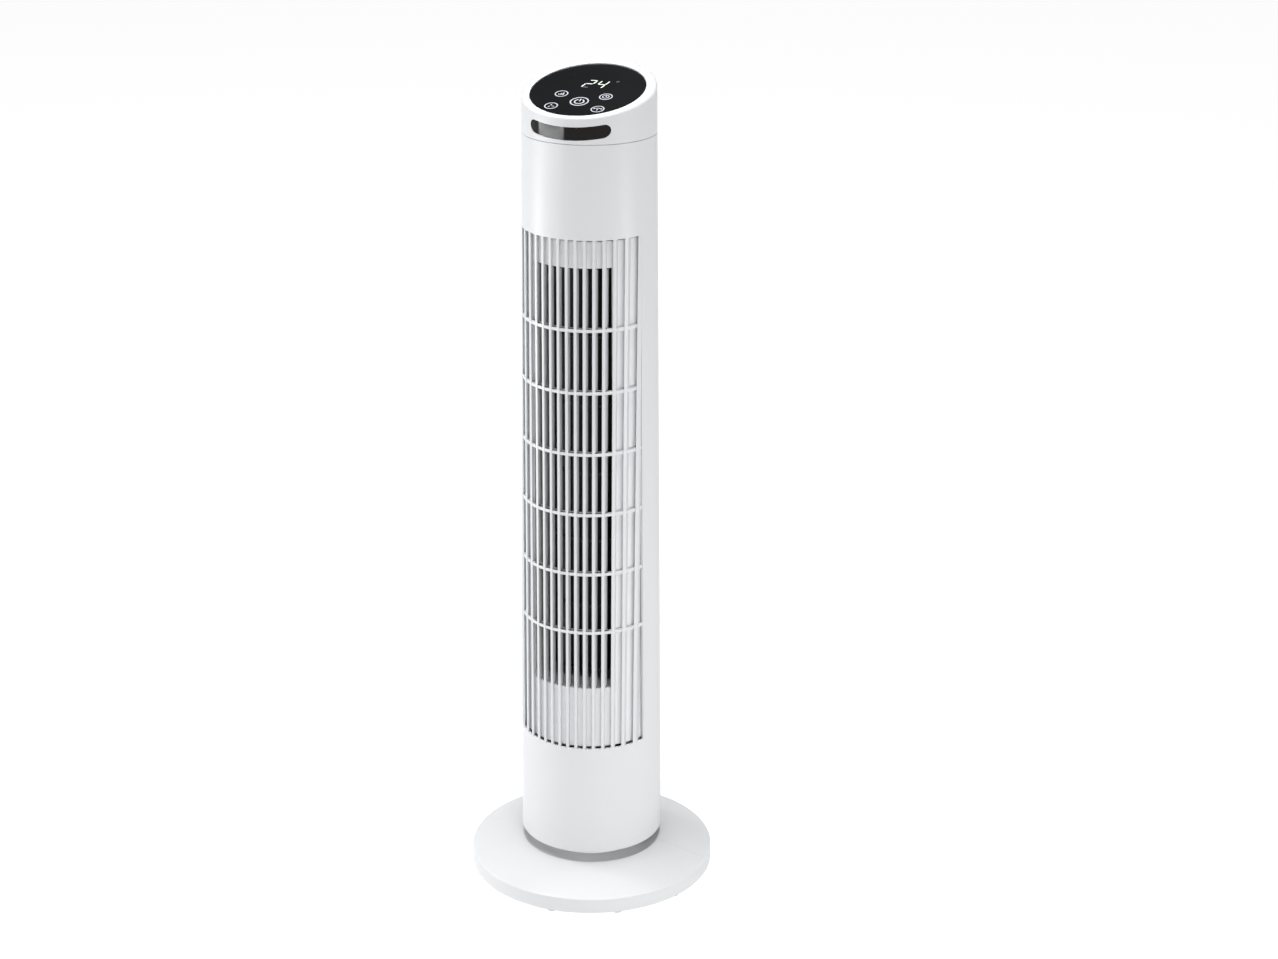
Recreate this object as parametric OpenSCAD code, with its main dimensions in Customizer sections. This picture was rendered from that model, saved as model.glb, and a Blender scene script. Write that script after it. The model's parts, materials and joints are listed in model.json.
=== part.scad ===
/* [Base] */
// Radius of the round foot plate
base_r = 113; // [105:1:125]
// Height of the foot plate's rim above the floor
base_top_z = 17; // [15:0.5:20]
// Height of the flat crown under the column
crown_z = 28.9; // [27:0.1:29]
// Radius of the flat crown
crown_r = 65; // [62:0.5:68]
// Distance of the foot plate's seam behind the column's axis
base_seam_y = 1.8; // [1:0.1:3]
// Height of the rubber feet under the rim
foot_h = 3; // [2:0.5:4]
// Radius of one rubber foot
foot_r = 4.8; // [3:0.1:5]
// Number of rubber feet
foot_count = 11; // [9:2:15]

/* [Column] */
// Height of the column's lower edge above the floor
column_z0 = 39.5; // [36:0.5:40]
// Height of the seam between the column and the head
column_z1 = 700.5; // [690:0.5:710]
// Outer radius of the column at its lower edge
column_bottom_r = 65.5; // [64:0.1:68]
// Outer radius of the column at the head seam
column_top_r = 58.2; // [57:0.1:60]
// Wall thickness of the two casings
wall = 2.2; // [1.8:0.1:2.6]
// Distance of the casing seam behind the column's middle plane
seam_y = 4.8; // [3:0.1:6]

/* [Outlet grille] */
// Lower edge of the grille window
grille_z0 = 144.5; // [140:0.5:150]
// Upper edge of the grille window
grille_z1 = 619; // [610:1:625]
// Half of the angle that the grille window spans
grille_half_angle = 68; // [64:1:70]
// Spacing of the upright slats
slat_pitch = 7.75; // [7.5:0.05:7.9]
// Width of one slat
slat_w = 2.5; // [2:0.1:3.2]
// Slats on each side of the middle one
slats_per_side = 7; // [5:1:7]
// Lower edge of the lowest cross rib
rib_z0 = 257.5; // [250:0.5:260]
// Spacing of the cross ribs
rib_pitch = 56.1; // [50:0.1:60]
// Height of one cross rib
rib_h = 3; // [2:0.5:4]
// Number of cross ribs
rib_count = 6; // [4:1:6]

/* [Air duct] */
// Lower edge of the air outlet behind the slats
outlet_z0 = 203.5; // [200:0.5:205]
// Upper edge of the air outlet behind the slats
outlet_z1 = 594; // [590:0.5:595]
// Half of the angle that the air outlet spans
outlet_half_angle = 40; // [38:1:42]
// Distance of the impeller axis behind the column's axis
impeller_y = 8; // [6:0.5:9]
// Outer radius of the cross-flow impeller
impeller_r = 38; // [34:0.5:38]
// Number of impeller blades
blade_count = 30; // [20:2:32]
// Number of blade sections between the impeller's discs
section_count = 6; // [4:1:8]

/* [Head] */
// Tilt of the control panel towards the front, in degrees
panel_tilt = 14.9; // [12:0.1:18]
// Height of the tilted rim plane on the column's axis
rim_z = 738.6; // [735:0.1:742]
// Radius of the round panel glass seen from above
panel_r = 49.6; // [46:0.1:50]
// Distance of the panel's centre in front of the column's axis
panel_y = 3.6; // [2:0.1:4]
// Height of the receiver window's slot
slot_h = 11; // [8:0.5:12]
// Half of the width of the receiver window's slot
slot_half_w = 36; // [30:1:38]
// Height of the slot's middle at the front
slot_z = 709.6; // [708:0.1:711]

/* [Swing drive] */
// Half of the swing angle that the crank gives the column
swing_half_angle = 30; // [20:1:30]
// Distance of the swing motor's shaft behind the swing axis
crank_centre_y = 32; // [30:0.5:33]
// Clearance of the roller on each side of the slot
slot_play = 1.3; // [1.2:0.1:1.5]

/* [Hidden] */
$fn = 96;
SMALL_FN = 32;
crank_r = crank_centre_y * sin(swing_half_angle);
SEAM = 0.15;              // half gap between shells that meet
FIT = 0.06;               // radial clearance of running fits
PITCH = 360 / foot_count;
FOOT_RING_R = 105.8;
SHEET = 3;                // thickness of the foot plate
RIM_WALL = 2.5;
CROWN_HOLE_R = 30;
RIB_INNER_R = 49;
NECK_R = 48.5;
NECK_Z = crown_z + 0.1;   // underside of the neck
SPIGOT_R = 15;
CABLE_R = 9;
PLATE_Z = 43;             // underside of the turning plate
PLATE_H = 3;
ARM_Z = PLATE_Z + PLATE_H + 0.3;
ARM_H = 2.5;
ROLLER_R = 3;
MOTOR_EAR = [31, 28];
LUG_R = 55;
DIAGONALS = [45:90:359];
NECK_SCREW_R = 40;        // radius of the circle that the neck screws stand on
ARM_SCREW_R = 12;
ARM_SCREW_ANGLES = [0, 90, 270];
MOTOR_SCREW_R = 28;
DECK_SCREW_R = 49;
DECK_SCREW_ANGLES = [60, 180, 300];
GLAND_Z = 8.6;            // height of the cord gland's axis
GLAND_R = 4.1;
CORD_R = 3.1;             // bore of the gland
CASING_SCREW_X = 47;
CASING_SCREW_Z = [66, 130, 636, 680];
LINER_GAP = 3.5;          // how far the liner lies behind the outer surface
LINER_WALL = 1.5;
DEEP_SLAT = 7;            // depth of the slats in front of the outlet
DEEP_SLATS = 9;           // how many slats are that deep
FLOOR_Z = 193;            // underside of the plate below the impeller
CEILING_Z = 595.5;        // underside of the plate above the impeller
DUCT_PLATE_H = 3;
IMPELLER_Z0 = 207;
IMPELLER_Z1 = 590;
BLADE_ARC_R = 8.4;
DECK_Z = 690;
MOTOR_Z0 = 136;
STATOR_R = 34;
STATOR_Z = [150, 172];
ROTOR_R = 18;
SHAFT_R = 4;
STUB_R = 3;
HEAD_GAP = 0.3;
RIM_THICK = 6;
GLASS_DROP = 0.8;
GLASS_H = 1.9;
BOARD_DROP = 12;
BOARD_H = 1.6;
BOARD_SCREWS = [[0, -51.3], [40.3, 20.9], [-40.3, 20.9]];
KEY_PLACES = [[0, -22.9], [-20.2, -10.8], [20.2, -10.8], [-20.2, -34.5], [20.2, -34.5]];
LOOM_R = 2.4;
LOOM_X = 49.3;              // where the loom passes the duct plates, beside the impeller
LOOM_HOLE_R = 3.4;
LOOM_ROUTE = [[0, -8, 62], [2, -24, 74], [8, -34, 90], [20, -36, 110], [34, -29, 132], [44, -16, 152],
              [49, -2, 170], [LOOM_X, 8, 186], [LOOM_X, 8, 200], [LOOM_X, 8, 330], [LOOM_X, 8, 460],
              [LOOM_X, 8, 604], [47, 10, 614], [38, 14, 624], [28, 17.5, 630]];

function outer_r(z) =
    column_bottom_r + (column_top_r - column_bottom_r) * (z - column_z0) / (column_z1 - column_z0);
function front_point(r, a) = [r * sin(a), -r * cos(a)];

// A tapered body that follows the column, inset from its outer surface
module column_body(z0, z1, inset) {
    translate([0, 0, z0])
        cylinder(h = z1 - z0, r1 = outer_r(z0) - inset, r2 = outer_r(z1) - inset);
}

module column_ring(z0, z1, inset_out, inset_in) {
    difference() {
        column_body(z0, z1, inset_out);
        column_body(z0 - 1, z1 + 1, inset_in);
    }
}

// A wedge between two angles, counted from the front towards +X
module sector(a0, a1, z0, z1, r = 120) {
    translate([0, 0, z0])
        linear_extrude(z1 - z0)
            polygon(concat([[0, 0]], [for (i = [0:4]) front_point(r, a0 + (a1 - a0) * i / 4)]));
}

module ring(r_in, r_out, h) {
    difference() {
        cylinder(h = h, r = r_out);
        translate([0, 0, -1])
            cylinder(h = h + 2, r = r_in);
    }
}

// A pan-head screw along +Z with its head below the origin
module screw(head_r, head_h, shank_r, shank_h) {
    translate([0, 0, -head_h])
        difference() {
            cylinder(h = head_h, r = head_r, $fn = SMALL_FN);
            translate([-head_r * 0.6, -0.4, -1])
                cube([head_r * 1.2, 0.8, 1 + head_h * 0.45]);
            translate([-0.4, -head_r * 0.6, -1])
                cube([0.8, head_r * 1.2, 1 + head_h * 0.45]);
        }
    cylinder(h = shank_h, r = shank_r, $fn = SMALL_FN);
}

module around(r, angles) {
    for (a = angles)
        translate(concat(front_point(r, a), [0]))
            rotate([0, 0, a])
                children();
}

// Children are placed in the tilted plane of the head's rim
module in_rim_plane() {
    translate([0, 0, rim_z])
        rotate([panel_tilt, 0, 0])
            children();
}

module rim_slab(depth_top, depth_bottom) {
    in_rim_plane()
        translate([-90, -90, -depth_bottom])
            cube([180, 180, depth_bottom - depth_top]);
}

// ---- base ----

// Everything in front of, or behind, the straight seam that splits the foot plate
module seam_side(front) {
    reach = 2 * base_r;
    y = front ? base_seam_y - SEAM / 2 - reach : base_seam_y + SEAM / 2;
    translate([-reach / 2 - 5, y, 0])
        cube([reach + 10, reach, 60]);
}

// The foot plate's filled shape: an upright rim, a shallow cone and a flat crown
module foot_body(drop, inset, z0) {
    rotate_extrude()
        polygon([[0, z0], [base_r - inset, z0], [base_r - inset, base_top_z - drop],
                 [crown_r, crown_z - drop], [0, crown_z - drop]]);
}

module foot_ribs() {
    for (a = [PITCH / 2:PITCH:359])
        if (abs(a - 180) > 1)
            rotate([0, 0, a])
                translate([-1, -base_r, foot_h + 2])
                    cube([2, base_r - RIB_INNER_R, crown_z]);
}

module foot_plate() {
    difference() {
        union() {
            difference() {
                foot_body(0, 0, foot_h);
                foot_body(SHEET, RIM_WALL, foot_h - 1);
            }
            intersection() {
                foot_body(SHEET / 2, RIM_WALL / 2, foot_h);
                union() {
                    around(FOOT_RING_R, [0:PITCH:359])
                        translate([0, 0, foot_h])
                            cylinder(h = crown_z, r = foot_r, $fn = SMALL_FN);
                    foot_ribs();
                }
            }
        }
        cylinder(h = 40, r = CROWN_HOLE_R);
        around(FOOT_RING_R, [0:PITCH:359])
            cylinder(h = foot_h + 3.2, r = 2.55, $fn = SMALL_FN);
        around(NECK_SCREW_R, DIAGONALS)
            cylinder(h = 40, r = 2.1, $fn = SMALL_FN);
        gland_place()
            gland_bore();
    }
}

module base_front_half() {
    color("white")
        intersection() {
            foot_plate();
            seam_side(true);
        }
}

module base_rear_half() {
    color("white")
        intersection() {
            foot_plate();
            seam_side(false);
        }
}

module rubber_feet() {
    color("lightgray")
        around(FOOT_RING_R, [0:PITCH:359]) {
            cylinder(h = foot_h - 0.02, r = foot_r, $fn = SMALL_FN);
            cylinder(h = foot_h + 3, r = 2.5, $fn = SMALL_FN);
        }
}

module neck() {
    top_z = PLATE_Z - 1.5;
    color("white")
        difference() {
            union() {
                difference() {
                    translate([0, 0, NECK_Z])
                        cylinder(h = top_z - NECK_Z, r = NECK_R);
                    translate([0, 0, NECK_Z - 1])
                        cylinder(h = top_z - NECK_Z - 2, r = NECK_R - 3);
                }
                around(NECK_SCREW_R, DIAGONALS)
                    translate([0, 0, NECK_Z])
                        cylinder(h = top_z - NECK_Z - 1, r = 4.5, $fn = SMALL_FN);
                translate([0, 0, NECK_Z])
                    cylinder(h = ARM_Z - NECK_Z - 0.02, r = SPIGOT_R);
            }
            translate([0, 0, NECK_Z - 1])
                cylinder(h = 60, r = CABLE_R);
            around(NECK_SCREW_R, DIAGONALS)
                translate([0, 0, NECK_Z - 1])
                    cylinder(h = 9, r = 1.55, $fn = SMALL_FN);
            around(ARM_SCREW_R, ARM_SCREW_ANGLES)
                translate([0, 0, ARM_Z - 6])
                    cylinder(h = 10, r = 1.05, $fn = SMALL_FN);
        }
}

module neck_screws() {
    color("silver")
        around(NECK_SCREW_R, DIAGONALS)
            translate([0, 0, crown_z - SHEET - 0.02])
                screw(3.6, 2.4, 1.5, SHEET + 7);
}

// The place of the cord's exit in the rear rim, between two feet
module gland_place() {
    rotate([0, 0, 180])
        translate([0, -base_r, GLAND_Z])
            rotate([90, 0, 0])
                children();
}

module gland_bore() {
    translate([0, 0, -12])
        cylinder(h = 20, r = GLAND_R + 0.05, $fn = SMALL_FN);
    translate([0, 0, -30])
        cylinder(h = 27.3, r = GLAND_R + 1.2, $fn = SMALL_FN);
}

module cord_gland() {
    color("gray")
        gland_place()
            translate([0, 0, -7])
                difference() {
                    union() {
                        cylinder(h = 7.4, r = GLAND_R);
                        translate([0, 0, 7.2])
                            cylinder(h = 1.6, r = GLAND_R + 0.6);
                        translate([0, 0, 1])
                            cylinder(h = 2.6, r = GLAND_R + 0.6);
                    }
                    translate([0, 0, -1])
                        cylinder(h = 12, r = CORD_R);
                }
}

// ---- swing drive ----

module thrust_ring() {
    color("ivory")
        translate([0, 0, PLATE_Z - 1.48])
            ring(SPIGOT_R + 1, NECK_R - 1, 1.38);
}

module swing_arm() {
    half = ROLLER_R + slot_play;
    inner_y = crank_centre_y - crank_r;
    outer_y = crank_centre_y + crank_r;
    color("silver")
        translate([0, 0, ARM_Z])
            difference() {
                union() {
                    cylinder(h = ARM_H, r = 20);
                    translate([-half - 2.8, 0, 0])
                        cube([2 * half + 5.6, outer_y, ARM_H]);
                    translate([0, outer_y, 0])
                        cylinder(h = ARM_H, r = half + 2.8);
                }
                translate([-half, inner_y, -1])
                    cube([2 * half, outer_y - inner_y, 10]);
                translate([0, outer_y, -1])
                    cylinder(h = 10, r = half);
                translate([0, inner_y, -1])
                    cylinder(h = 10, r = half);
                translate([0, 0, -1])
                    cylinder(h = 10, r = CABLE_R);
                around(ARM_SCREW_R, ARM_SCREW_ANGLES)
                    translate([0, 0, -1])
                        cylinder(h = 10, r = 1.2, $fn = SMALL_FN);
            }
}

module swing_arm_screws() {
    color("silver")
        around(ARM_SCREW_R, ARM_SCREW_ANGLES)
            translate([0, 0, ARM_Z + ARM_H + 0.02])
                rotate([180, 0, 0])
                    screw(2.3, 1.6, 1, ARM_H + 5);
}

module swing_plate() {
    r = outer_r(PLATE_Z + PLATE_H) - wall - 0.3;
    color("whitesmoke")
        difference() {
            union() {
                translate([0, 0, PLATE_Z])
                    cylinder(h = PLATE_H, r = r);
                for (s = [-1, 1])
                    translate([s * MOTOR_EAR[0], MOTOR_EAR[1], PLATE_Z])
                        cylinder(h = 13, r = 3.4, $fn = SMALL_FN);
            }
            cylinder(h = 100, r = SPIGOT_R + FIT);
            for (s = [-1, 1])
                translate([s * MOTOR_EAR[0], MOTOR_EAR[1], PLATE_Z + 5])
                    cylinder(h = 20, r = 1.3, $fn = SMALL_FN);
            around(LUG_R, DIAGONALS)
                cylinder(h = 100, r = 1.8, $fn = SMALL_FN);
        }
}

module swing_plate_screws() {
    color("silver")
        around(LUG_R, DIAGONALS)
            translate([0, 0, PLATE_Z - 0.02])
                screw(3.2, 2, 1.5, 11);
}

module swing_motor() {
    z = PLATE_Z + 13.02;
    color("gainsboro")
        difference() {
            union() {
                translate([0, crank_centre_y, z])
                    cylinder(h = 19, r = 25);
                translate([-MOTOR_EAR[0], MOTOR_EAR[1] - 5, z])
                    cube([2 * MOTOR_EAR[0], 10, 1.2]);
                for (s = [-1, 1])
                    translate([s * MOTOR_EAR[0], MOTOR_EAR[1], z])
                        cylinder(h = 1.2, r = 5, $fn = SMALL_FN);
            }
            for (s = [-1, 1])
                translate([s * MOTOR_EAR[0], MOTOR_EAR[1], 0])
                    cylinder(h = 100, r = 1.8, $fn = SMALL_FN);
            translate([0, crank_centre_y, z - 1])
                cylinder(h = 9, r = 2.5 + FIT);
        }
}

module swing_motor_screws() {
    color("silver")
        for (s = [-1, 1])
            translate([s * MOTOR_EAR[0], MOTOR_EAR[1], PLATE_Z + 14.24])
                rotate([180, 0, 0])
                    screw(2.9, 1.8, 1.25, 8.5);
}

module swing_motor_shaft() {
    color("silver")
        translate([0, crank_centre_y, ARM_Z + ARM_H + 1.4])
            cylinder(h = 13.5, r = 2.5);
}

module crank() {
    z = ARM_Z + ARM_H + 1.4;
    color("ivory")
        difference() {
            union() {
                translate([0, crank_centre_y, z])
                    cylinder(h = 5, r = 7);
                translate([-5, crank_centre_y, z])
                    cube([10, crank_r, 3]);
                translate([0, crank_centre_y + crank_r, z])
                    cylinder(h = 3, r = 5);
                translate([0, crank_centre_y + crank_r, ARM_Z + 0.3])
                    cylinder(h = z - ARM_Z + 1, r = 2);
            }
            translate([0, crank_centre_y, z - 1])
                cylinder(h = 20, r = 2.5);
        }
}

module crank_roller() {
    color("lightgray")
        translate([0, crank_centre_y + crank_r, ARM_Z + 0.3])
            ring(2 + FIT, ROLLER_R, ARM_H + 0.9);
}

// ---- casings ----

module slats() {
    reach = DEEP_SLATS * slat_pitch / 2;
    difference() {
        intersection() {
            column_body(grille_z0 - 1, grille_z1 + 1, 0.12);
            for (k = [-slats_per_side:slats_per_side])
                translate([k * slat_pitch - slat_w / 2, -column_bottom_r, grille_z0 - 1])
                    cube([slat_w, column_bottom_r, grille_z1 - grille_z0 + 2]);
        }
        difference() {
            column_body(grille_z0 - 3, grille_z1 + 3, LINER_GAP - 0.1);
            translate([-reach, -column_bottom_r, outlet_z0 + 1.7])
                cube([2 * reach, column_bottom_r, outlet_z1 - outlet_z0 - 3.4]);
        }
        column_body(grille_z0 - 3, grille_z1 + 3, DEEP_SLAT);
    }
}

module cross_ribs() {
    for (i = [0:rib_count - 1]) {
        z = rib_z0 + i * rib_pitch;
        intersection() {
            column_ring(z, z + rib_h, 0.5, LINER_GAP - 0.1);
            sector(-grille_half_angle - 0.6, grille_half_angle + 0.6, z - 1, z + rib_h + 1);
        }
        intersection() {
            column_ring(z, z + rib_h, 0.5, 6);
            sector(5 - outlet_half_angle, outlet_half_angle - 5, z - 1, z + rib_h + 1);
        }
    }
}

module front_space(y) {
    translate([-100, y - 200, 0])
        cube([200, 200, 800]);
}

module rear_space(y) {
    translate([-100, y, 0])
        cube([200, 200, 800]);
}

// Inner ledges that hold the duct plates and the top deck
module ledges() {
    difference() {
        union() {
            column_ring(FLOOR_Z - 2.4, FLOOR_Z - 0.1, wall - 0.4, 6.6);
            column_ring(CEILING_Z + DUCT_PLATE_H + 0.1, CEILING_Z + DUCT_PLATE_H + 2.4, wall - 0.4, 6.6);
        }
        sector(-75, 75, 100, 650);
    }
    column_ring(DECK_Z - 2.4, DECK_Z - 0.1, wall - 0.4, 4.8);
}

module casing_lugs() {
    difference() {
        intersection() {
            around(LUG_R, DIAGONALS)
                translate([0, 0, PLATE_Z + PLATE_H + 0.05]) {
                    cylinder(h = 12, r = 4, $fn = SMALL_FN);
                    translate([-1.5, -9, 0])
                        cube([3, 9, 12]);
                }
            column_body(column_z0, 100, wall - 0.4);
        }
        around(LUG_R, DIAGONALS)
            translate([0, 0, PLATE_Z])
                cylinder(h = 14, r = 1.55, $fn = SMALL_FN);
    }
}

// Screw posts near the casing seam, along Y from y0 to y1
module seam_posts(y0, y1, r) {
    intersection() {
        for (s = [-1, 1], z = CASING_SCREW_Z) {
            translate([s * CASING_SCREW_X, y0, z])
                rotate([-90, 0, 0])
                    cylinder(h = y1 - y0, r = r, $fn = SMALL_FN);
            translate([min(s * CASING_SCREW_X, s * 64), y0, z - 1])
                cube([64 - CASING_SCREW_X, y1 - y0, 2]);
        }
        column_body(column_z0, column_z1, wall - 0.4);
    }
}

module seam_holes(r, y0, y1) {
    for (s = [-1, 1], z = CASING_SCREW_Z)
        translate([s * CASING_SCREW_X, y0, z])
            rotate([-90, 0, 0])
                cylinder(h = y1 - y0, r = r, $fn = SMALL_FN);
}

module front_casing() {
    color("white")
        difference() {
            union() {
                difference() {
                    column_ring(column_z0, column_z1, 0, wall);
                    sector(-grille_half_angle, grille_half_angle, grille_z0, grille_z1);
                    rear_space(seam_y - SEAM / 2);
                }
                slats();
                cross_ribs();
                intersection() {
                    union() {
                        ledges();
                        casing_lugs();
                    }
                    front_space(seam_y - SEAM / 2);
                }
                seam_posts(-14, seam_y - SEAM / 2, 4.2);
            }
            seam_holes(1.3, -10, 10);
        }
}

module intake_slots() {
    rows = 38;
    row_pitch = 11;
    slot_height = 6.5;
    for (i = [0:rows - 1], a = [-38, 0, 38])
        sector(180 + a - 17, 180 + a + 17, 172 + i * row_pitch, 172 + i * row_pitch + slot_height);
}

module rear_casing() {
    color("white")
        difference() {
            union() {
                difference() {
                    column_ring(column_z0, column_z1, 0, wall);
                    front_space(seam_y + SEAM / 2);
                    intake_slots();
                }
                intersection() {
                    union() {
                        ledges();
                        casing_lugs();
                    }
                    rear_space(seam_y + SEAM / 2);
                }
                seam_posts(seam_y + SEAM / 2, 48, 4.6);
            }
            seam_holes(1.6, 0, 80);
            seam_holes(3.4, 12, 80);
        }
}

module casing_screws() {
    color("silver")
        for (s = [-1, 1], z = CASING_SCREW_Z)
            translate([s * CASING_SCREW_X, 12.02, z])
                rotate([90, 0, 0])
                    screw(3, 2, 1.25, 20);
}

// ---- air duct ----

module outlet_liner() {
    z0 = grille_z0 + 1.5;
    z1 = grille_z1 - 1.5;
    edge_x = 36.2;
    color("antiquewhite")
        union() {
            difference() {
                column_ring(z0, z1, LINER_GAP, LINER_GAP + LINER_WALL);
                sector(-outlet_half_angle, outlet_half_angle, outlet_z0, outlet_z1);
                rear_space(-16);
            }
            intersection() {
                column_body(z0, z1, LINER_GAP + 0.4);
                union() {
                    for (s = [-1, 1])
                        translate([s * (edge_x + 0.75) - 0.75, -60, outlet_z0 - 1.5])
                            cube([1.5, 29, outlet_z1 - outlet_z0 + 3]);
                    for (z = [outlet_z0 - 1.5, outlet_z1])
                        translate([-edge_x - 0.5, -60, z])
                            cube([2 * edge_x + 1, 27, 1.5]);
                }
            }
        }
}

module wall_arc(r, a0, a1) {
    translate([0, impeller_y, FLOOR_Z + DUCT_PLATE_H + 0.1])
        rotate([0, 0, a0])
            rotate_extrude(angle = a1 - a0)
                translate([r, 0])
                    square([1.8, CEILING_Z - FLOOR_Z - DUCT_PLATE_H - 0.2]);
}

module wall_flat(x, y0, y1) {
    translate([x, y0, FLOOR_Z + DUCT_PLATE_H + 0.1])
        cube([1.8, y1 - y0, CEILING_Z - FLOOR_Z - DUCT_PLATE_H - 0.2]);
}

module volute_wall() {
    color("antiquewhite")
        union() {
            wall_arc(47, 150, 221);
            wall_flat(-37.9, -30.8, -22.4);
        }
}

module tongue_wall() {
    color("antiquewhite")
        union() {
            wall_arc(41, -30, 20);
            wall_flat(36.1, -30.8, -12);
        }
}

module duct_floor() {
    color("whitesmoke")
        difference() {
            translate([0, 0, FLOOR_Z])
                cylinder(h = DUCT_PLATE_H, r = outer_r(FLOOR_Z) - 5.4);
            translate([0, impeller_y, FLOOR_Z - 1])
                cylinder(h = 10, r = 12);
            translate([0, impeller_y, FLOOR_Z - 1])
                around(MOTOR_SCREW_R, DIAGONALS)
                    cylinder(h = 10, r = 2.2, $fn = SMALL_FN);
            translate([LOOM_X, impeller_y, FLOOR_Z - 1])
                cylinder(h = 10, r = LOOM_HOLE_R, $fn = SMALL_FN);
        }
}

module duct_ceiling() {
    top_z = CEILING_Z + DUCT_PLATE_H;
    color("whitesmoke")
        difference() {
            union() {
                translate([0, 0, CEILING_Z])
                    cylinder(h = DUCT_PLATE_H, r = outer_r(top_z) - 5.4);
                translate([0, impeller_y, CEILING_Z])
                    cylinder(h = 11, r = 13.5);
                for (x = [-26, 22])
                    translate([x, 23, CEILING_Z])
                        cube([4, 7, 22]);
            }
            translate([0, impeller_y, CEILING_Z - 1])
                cylinder(h = 20, r = 8);
            translate([0, impeller_y, top_z])
                cylinder(h = 20, r = 11.05);
            translate([-40, 25.5, top_z + 4])
                cube([80, 1.8, 30]);
            translate([LOOM_X, impeller_y, CEILING_Z - 1])
                cylinder(h = 10, r = LOOM_HOLE_R, $fn = SMALL_FN);
        }
}

// ---- fan motor ----

module motor_bell(z0, z1, open_up) {
    floor_z = open_up ? z0 : z1 - 2.5;
    translate([0, impeller_y, 0])
        difference() {
            union() {
                translate([0, 0, z0])
                    ring(STATOR_R - 2.5, STATOR_R, z1 - z0);
                translate([0, 0, floor_z])
                    cylinder(h = 2.5, r = STATOR_R - 1);
                translate([0, 0, open_up ? z0 : z1 - 9])
                    cylinder(h = 9, r = 10);
            }
            cylinder(h = 400, r = 8);
            around(MOTOR_SCREW_R, DIAGONALS)
                cylinder(h = 400, r = 1.6, $fn = SMALL_FN);
        }
}

module motor_lower_bell() {
    color("silver")
        motor_bell(MOTOR_Z0, STATOR_Z[0] - 0.02, true);
}

module motor_upper_bell() {
    color("silver")
        motor_bell(STATOR_Z[1] + 0.02, 187, false);
}

module stator_core() {
    color("dimgray")
        translate([0, impeller_y, STATOR_Z[0]])
            difference() {
                ring(ROTOR_R + 0.4, STATOR_R - 0.5, STATOR_Z[1] - STATOR_Z[0]);
                around(MOTOR_SCREW_R, DIAGONALS)
                    translate([0, 0, -1])
                        cylinder(h = 60, r = 1.6, $fn = SMALL_FN);
            }
}

module motor_windings() {
    color("peru")
        translate([0, impeller_y, 0]) {
            translate([0, 0, STATOR_Z[0] - 6.5])
                ring(ROTOR_R + 1.5, 25.5, 6.4);
            translate([0, 0, STATOR_Z[1] + 0.1])
                ring(ROTOR_R + 1.5, 25.5, 6.4);
        }
}

module motor_bearings() {
    color("darkgoldenrod")
        for (z = [MOTOR_Z0 + 0.5, 178.5])
            translate([0, impeller_y, z])
                ring(SHAFT_R + 0.05, 7.95, 8);
}

module motor_mounts() {
    color("black")
        translate([0, impeller_y, 187.1])
            around(MOTOR_SCREW_R, DIAGONALS)
                ring(1.7, 4.5, FLOOR_Z - 187.2);
}

module motor_screws() {
    color("silver")
        translate([0, impeller_y, MOTOR_Z0 - 0.02])
            around(MOTOR_SCREW_R, DIAGONALS)
                screw(3, 2, 1.5, FLOOR_Z - MOTOR_Z0 + 8);
}

module motor_rotor() {
    color("gray")
        translate([0, impeller_y, STATOR_Z[0] - 1])
            ring(SHAFT_R, ROTOR_R, STATOR_Z[1] - STATOR_Z[0] + 2);
}

module motor_shaft() {
    color("silver")
        translate([0, impeller_y, MOTOR_Z0 - 2])
            cylinder(h = IMPELLER_Z0 - 1 - MOTOR_Z0, r = SHAFT_R);
}

// ---- impeller ----

module drive_hub() {
    color("dimgray")
        difference() {
            translate([0, impeller_y, 198.5])
                cylinder(h = IMPELLER_Z0 - 198.52, r = 9.5);
            translate([0, impeller_y, 190])
                cylinder(h = 40, r = SHAFT_R);
            translate([0, impeller_y, 202])
                rotate([0, 90, 0])
                    cylinder(h = 20, r = 1.5, $fn = SMALL_FN);
        }
}

module set_screw() {
    color("silver")
        translate([SHAFT_R + 0.1, impeller_y, 202])
            rotate([0, 90, 0])
                cylinder(h = 6, r = 1.45, $fn = SMALL_FN);
}

// One curved blade: radial at its inner edge and leaning forward at its outer edge
module blade(h) {
    translate([impeller_r - BLADE_ARC_R + 0.4, 0, 0])
        rotate([0, 0, 35])
            rotate_extrude(angle = 72)
                translate([BLADE_ARC_R, 0])
                    square([0.9, h]);
}

module impeller() {
    h = IMPELLER_Z1 - IMPELLER_Z0;
    step = (h - 2) / section_count;
    color([0.1, 0.1, 0.11])
        translate([0, impeller_y, IMPELLER_Z0])
            union() {
                for (i = [0:blade_count - 1])
                    rotate([0, 0, i * 360 / blade_count])
                        blade(h);
                for (i = [1:section_count - 1])
                    translate([0, 0, i * step])
                        ring(impeller_r - 11.5, impeller_r, 2);
                cylinder(h = 2, r = impeller_r);
                difference() {
                    translate([0, 0, h - 8])
                        cylinder(h = 8, r = 8);
                    translate([0, 0, h - 9])
                        cylinder(h = 20, r = STUB_R);
                }
                translate([0, 0, h - 2])
                    ring(7.5, impeller_r, 2);
            }
}

module stub_shaft() {
    color("silver")
        translate([0, impeller_y, IMPELLER_Z1 - 7.9])
            cylinder(h = 25, r = STUB_R);
}

module bearing_bush() {
    color("darkgoldenrod")
        translate([0, impeller_y, CEILING_Z + DUCT_PLATE_H + 0.4])
            ring(STUB_R + 0.05, 6, 6.5);
}

module bearing_rubber() {
    color("black")
        translate([0, impeller_y, CEILING_Z + DUCT_PLATE_H + 0.1])
            ring(6.02, 11, 7.2);
}

// ---- electrics ----

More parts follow.
